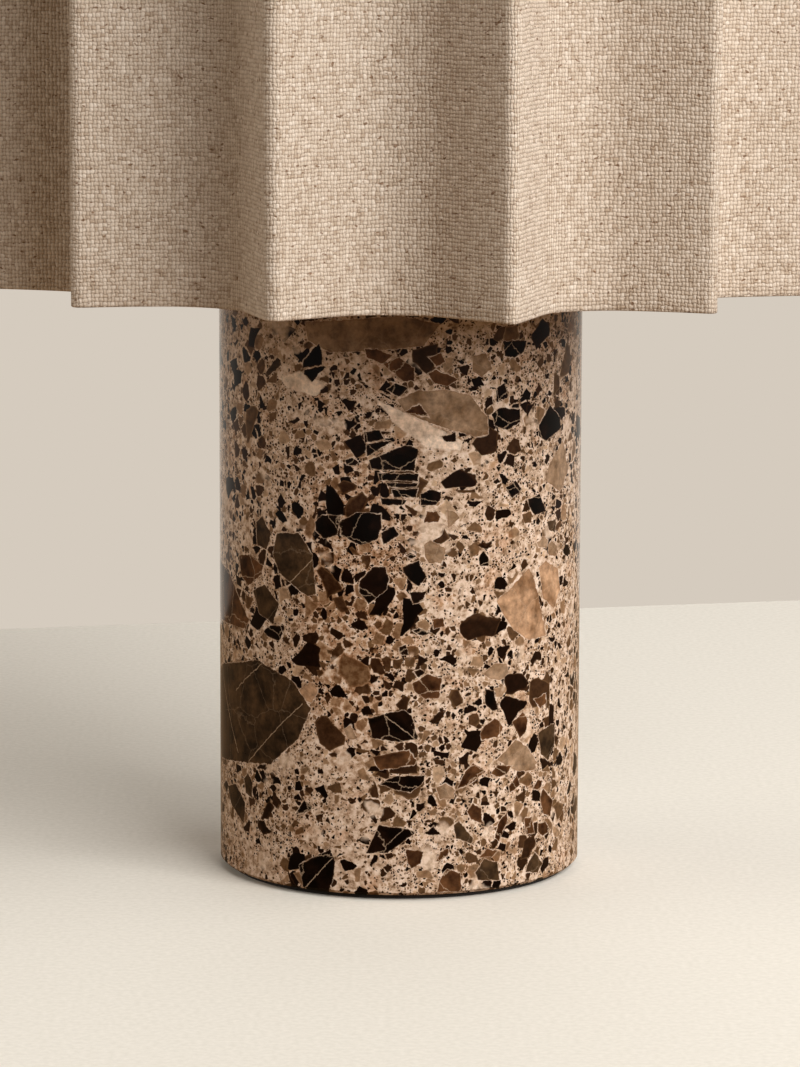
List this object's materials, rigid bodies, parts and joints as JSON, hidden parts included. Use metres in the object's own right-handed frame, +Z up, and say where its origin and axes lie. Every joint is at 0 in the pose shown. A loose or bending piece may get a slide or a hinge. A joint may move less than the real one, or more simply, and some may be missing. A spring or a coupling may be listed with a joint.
{
  "type": "column table lamp",
  "caption": "Table lamp with a polished breccia stone column and a pleated linen drum shade on a wire frame, over a screw-cap bulb in a switched brass lampholder.",
  "frame": {"origin": "middle of the foot, on the surface that the lamp stands on", "axes": "+Z up along the column; -Y is the front; +Y is the back, with the cord inlet"},
  "size_m": [0.2268, 0.2268, 0.373],
  "materials": {
    "stone": "polished",
    "felt": "matte",
    "steel": "satin",
    "zinc_screws": "satin",
    "insert_brass": "satin",
    "brass": "satin",
    "fibre": "matte",
    "bushing_rubber": "matte",
    "white_nylon": "satin",
    "live_sleeve": "satin",
    "neutral_sleeve": "satin",
    "earth_sleeve": "satin",
    "phenolic": "satin",
    "contact_brass": "satin",
    "switch_plastic": "satin",
    "cap_nickel": "satin",
    "tip_glass": "gloss",
    "bulb_glass": "gloss",
    "filament": "matte",
    "frame_paint": "satin",
    "linen": "matte"
  },
  "bodies": {
    "lamp": {"column": "stone", "foot_pad": "felt", "base_plate": "steel", "plate_screws": "zinc_screws", "plate_inserts": "insert_brass", "tie_tube": "steel", "lower_nut": "steel", "upper_nut": "steel", "holder_nut": "steel", "lower_washer": "steel", "lock_washer": "steel", "fibre_washer": "fibre", "top_cap": "brass", "neck": "brass", "inlet_bushing": "bushing_rubber", "clamp_saddle": "white_nylon", "clamp_bridge": "white_nylon", "clamp_screws": "zinc_screws", "terminal_block": "white_nylon", "block_sleeves": "contact_brass", "block_screws": "zinc_screws", "earth_lug": "zinc_screws", "earth_screw": "zinc_screws", "live_lead": "live_sleeve", "neutral_lead": "neutral_sleeve", "earth_lead": "earth_sleeve", "holder_cap": "brass", "holder_shell": "brass", "retaining_ring": "brass", "insulator": "phenolic", "holder_terminals": "contact_brass", "terminal_screws": "zinc_screws", "screw_sleeve": "contact_brass", "centre_contact": "contact_brass", "switch_leaves": "contact_brass", "bulb_tip": "contact_brass", "bulb_tip_insulator": "tip_glass", "bulb_cap": "cap_nickel", "bulb_glass": "bulb_glass", "bulb_stem": "bulb_glass", "bulb_filaments": "filament", "bulb_supports": "zinc_screws"},
    "shade": {"fitter_ring": "frame_paint", "fitter_arms": "frame_paint", "lower_ring": "frame_paint", "upper_ring": "frame_paint", "frame_struts": "frame_paint", "shade_cloth": "linen"},
    "switch": {"switch_bar": "switch_plastic", "switch_buttons": "switch_plastic", "switch_bridge": "contact_brass"}
  },
  "joints": [
    {"name": "shade_turn", "type": "hinge", "parent": "lamp", "child": "shade", "pos_m": [0, 0, 0.223], "axis": [0, 0, 1], "continuous": true},
    {"name": "switch_push", "type": "slide", "parent": "lamp", "child": "switch", "axis": [1, 0, 0], "range_m": [0, 0.005]}
  ]
}
